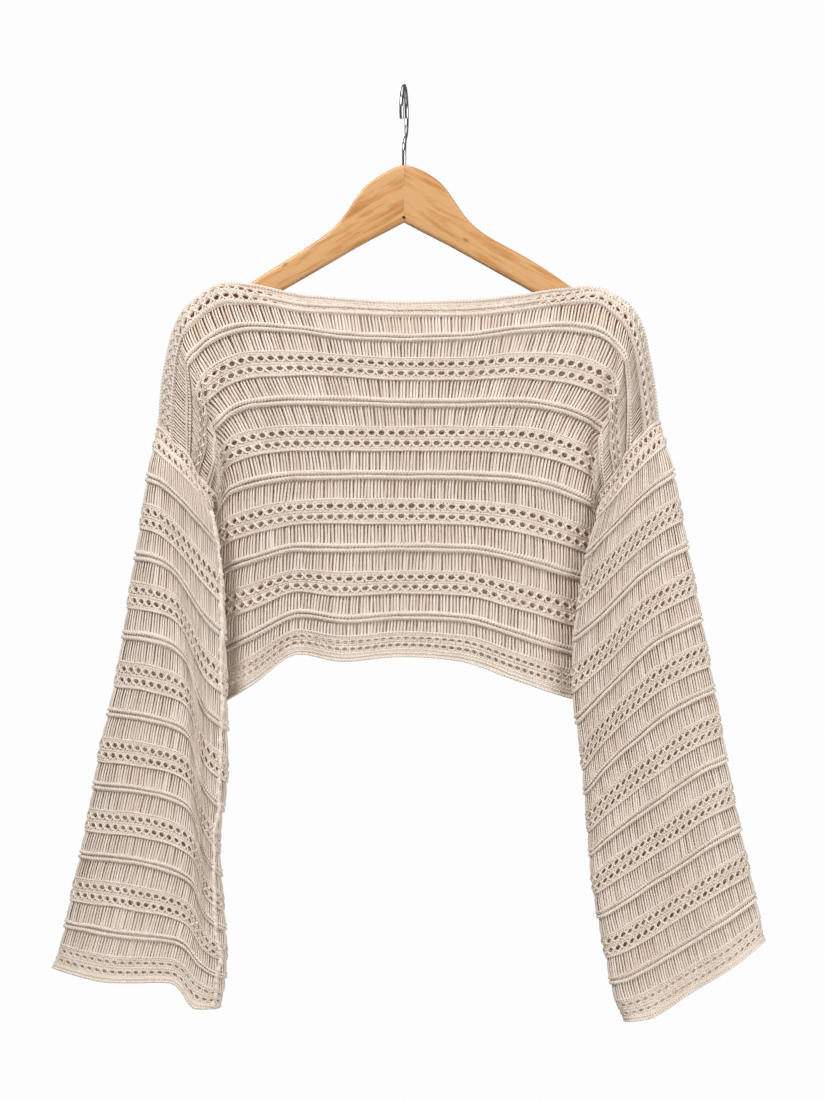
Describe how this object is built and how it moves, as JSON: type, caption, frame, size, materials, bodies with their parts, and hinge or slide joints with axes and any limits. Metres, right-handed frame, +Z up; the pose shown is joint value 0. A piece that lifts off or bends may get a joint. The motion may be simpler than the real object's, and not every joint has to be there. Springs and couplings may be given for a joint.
{
  "type": "cropped sweater on a hanger",
  "caption": "Cropped boat-neck openwork knit sweater with drop shoulders and long wide sleeves, hung on a wooden hanger with a wire hook.",
  "frame": {"origin": "inside top of the hanger's hook, where it rests on a rail", "axes": "+Z up, -Y the sweater's front, +X the viewer's right facing that front"},
  "size_m": [0.6335, 0.079, 0.8383],
  "materials": {
    "cotton_yarn": "matte openwork knit",
    "beech_wood": "satin lacquer",
    "polished_steel": "polished"
  },
  "bodies": {
    "root": {"front": "cotton_yarn", "back": "cotton_yarn", "sleeve_left": "cotton_yarn", "sleeve_right": "cotton_yarn", "hanger_left_arm": "beech_wood", "hanger_right_arm": "beech_wood", "hook": "polished_steel"}
  },
  "joints": []
}
